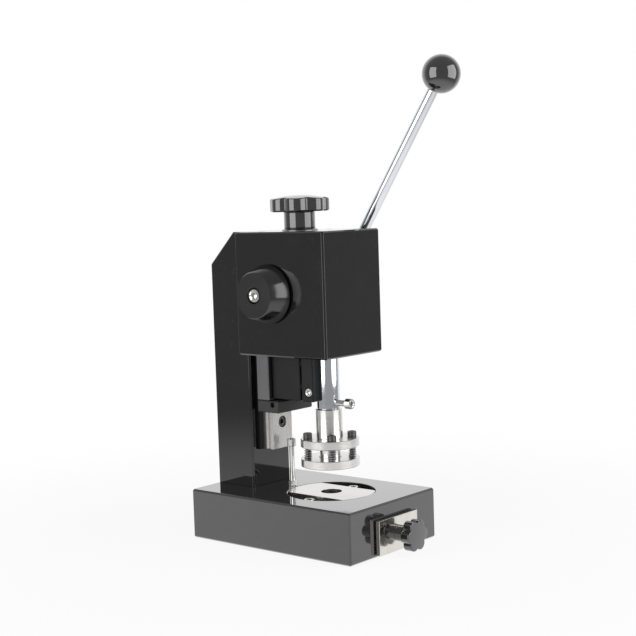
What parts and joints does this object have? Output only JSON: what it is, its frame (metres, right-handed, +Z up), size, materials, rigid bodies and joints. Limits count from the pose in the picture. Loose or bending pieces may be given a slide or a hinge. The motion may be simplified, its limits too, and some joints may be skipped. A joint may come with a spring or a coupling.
{
  "type": "coin cell disc punch press",
  "caption": "Benchtop lever press: rack and pinion drives a rail-guided ram with spring stripper and round punch into a die over a disc drawer",
  "frame": {"origin": "middle of the base block's underside, on the bench", "axes": "+Z up along the column, +Y towards the column at the back, +X to the right seen from the drawer; the lever shaft runs along X and the ram slides along Z"},
  "size_m": [0.1391, 0.2419, 0.4551],
  "materials": {
    "black_enamel": "high-gloss black over machined steel",
    "satin_black": "satin black anodised",
    "blackened_steel": "black oxide",
    "ground_steel": "ground",
    "turned_steel": "fine turned and polished",
    "chrome_plate": "hard chrome",
    "zinc_steel": "bright zinc",
    "spring_steel": "oiled spring wire",
    "stainless_sheet": "bright stainless sheet",
    "bronze": "sintered bronze",
    "black_plastic": "glossy moulded black",
    "cap_plastic": "moulded dark grey"
  },
  "bodies": {
    "frame": {"base_block": "black_enamel", "column": "black_enamel", "column_bolts": "blackened_steel", "head_housing": "black_enamel", "head_bolts": "blackened_steel", "head_top_plate": "black_enamel", "top_plate_screws": "blackened_steel", "rail_backing_plate": "satin_black", "guide_rail": "ground_steel", "rail_screws": "zinc_steel", "left_bush": "bronze", "right_bush": "bronze", "brake_washer": "zinc_steel", "return_spring": "spring_steel", "die_plate": "turned_steel", "die_screws": "zinc_steel", "stop_nut": "zinc_steel"},
    "ram": {"carriage_body": "ground_steel", "lower_end_cap": "cap_plastic", "upper_end_cap": "cap_plastic", "end_cap_screws": "blackened_steel", "slide_block": "satin_black", "slide_block_screws": "blackened_steel", "ram_clamp": "satin_black", "ram_clamp_screws": "blackened_steel", "rod_grip_screws": "blackened_steel", "ram_rod": "chrome_plate", "rack": "ground_steel", "rack_screws": "blackened_steel", "punch_clamp_screw": "zinc_steel", "punch_holder": "turned_steel", "punch": "turned_steel", "stripper_springs": "spring_steel"},
    "lever": {"pinion_shaft": "ground_steel", "pinion": "ground_steel", "pinion_key": "ground_steel", "left_hub": "black_enamel", "left_hub_screw": "zinc_steel", "lever_hub": "black_enamel", "lever_hub_screw": "zinc_steel", "lever_rod": "chrome_plate", "lever_ball": "black_plastic"},
    "stripper": {"stripper_ring": "turned_steel", "stripper_screws": "blackened_steel"},
    "brake_screw": {"brake_knob": "black_plastic", "brake_stem": "zinc_steel", "brake_collar": "zinc_steel"},
    "brake_block": {"brake_shoe": "bronze"},
    "stop": {"stop_screw": "zinc_steel"},
    "drawer": {"drawer_tray": "stainless_sheet", "drawer_front": "stainless_sheet", "drawer_knob": "black_plastic", "drawer_knob_stud": "zinc_steel", "drawer_knob_nut": "zinc_steel"}
  },
  "joints": [
    {"name": "ram_slide", "type": "slide", "parent": "frame", "child": "ram", "axis": [0, 0, -1], "range_m": [0, 0.028], "stiffness_N_per_m": 800, "springref_m": -0.065, "deforming": ["return_spring"]},
    {"name": "lever_turn", "type": "hinge", "parent": "frame", "child": "lever", "pos_m": [0, 0.0085, 0.2393], "axis": [1, 0, 0], "range_deg": [0, 90]},
    {"name": "stripper_slide", "type": "slide", "parent": "ram", "child": "stripper", "axis": [0, 0, 1], "range_m": [0, 0.0025], "deforming": ["stripper_springs"]},
    {"name": "brake_turn", "type": "hinge", "parent": "frame", "child": "brake_screw", "pos_m": [0, 0.004, 0.2975], "axis": [0, 0, -1], "range_deg": [0, 180]},
    {"name": "brake_shoe_slide", "type": "slide", "parent": "frame", "child": "brake_block", "axis": [0, 0, -1], "range_m": [0, 0.00075]},
    {"name": "stop_screw_turn", "type": "hinge", "parent": "frame", "child": "stop", "pos_m": [0, 0.024, 0.048], "axis": [0, 0, 1], "range_deg": [0, 360]},
    {"name": "drawer_slide", "type": "slide", "parent": "frame", "child": "drawer", "axis": [0, -1, 0], "range_m": [0, 0.06]}
  ],
  "couplings": [
    {"joint": "lever_turn", "follows": "ram_slide", "rad_per_m": 55.556},
    {"joint": "stripper_slide", "follows": "ram_slide", "ratio": 0.0875},
    {"joint": "brake_turn", "follows": "brake_shoe_slide", "rad_per_m": 4188}
  ]
}
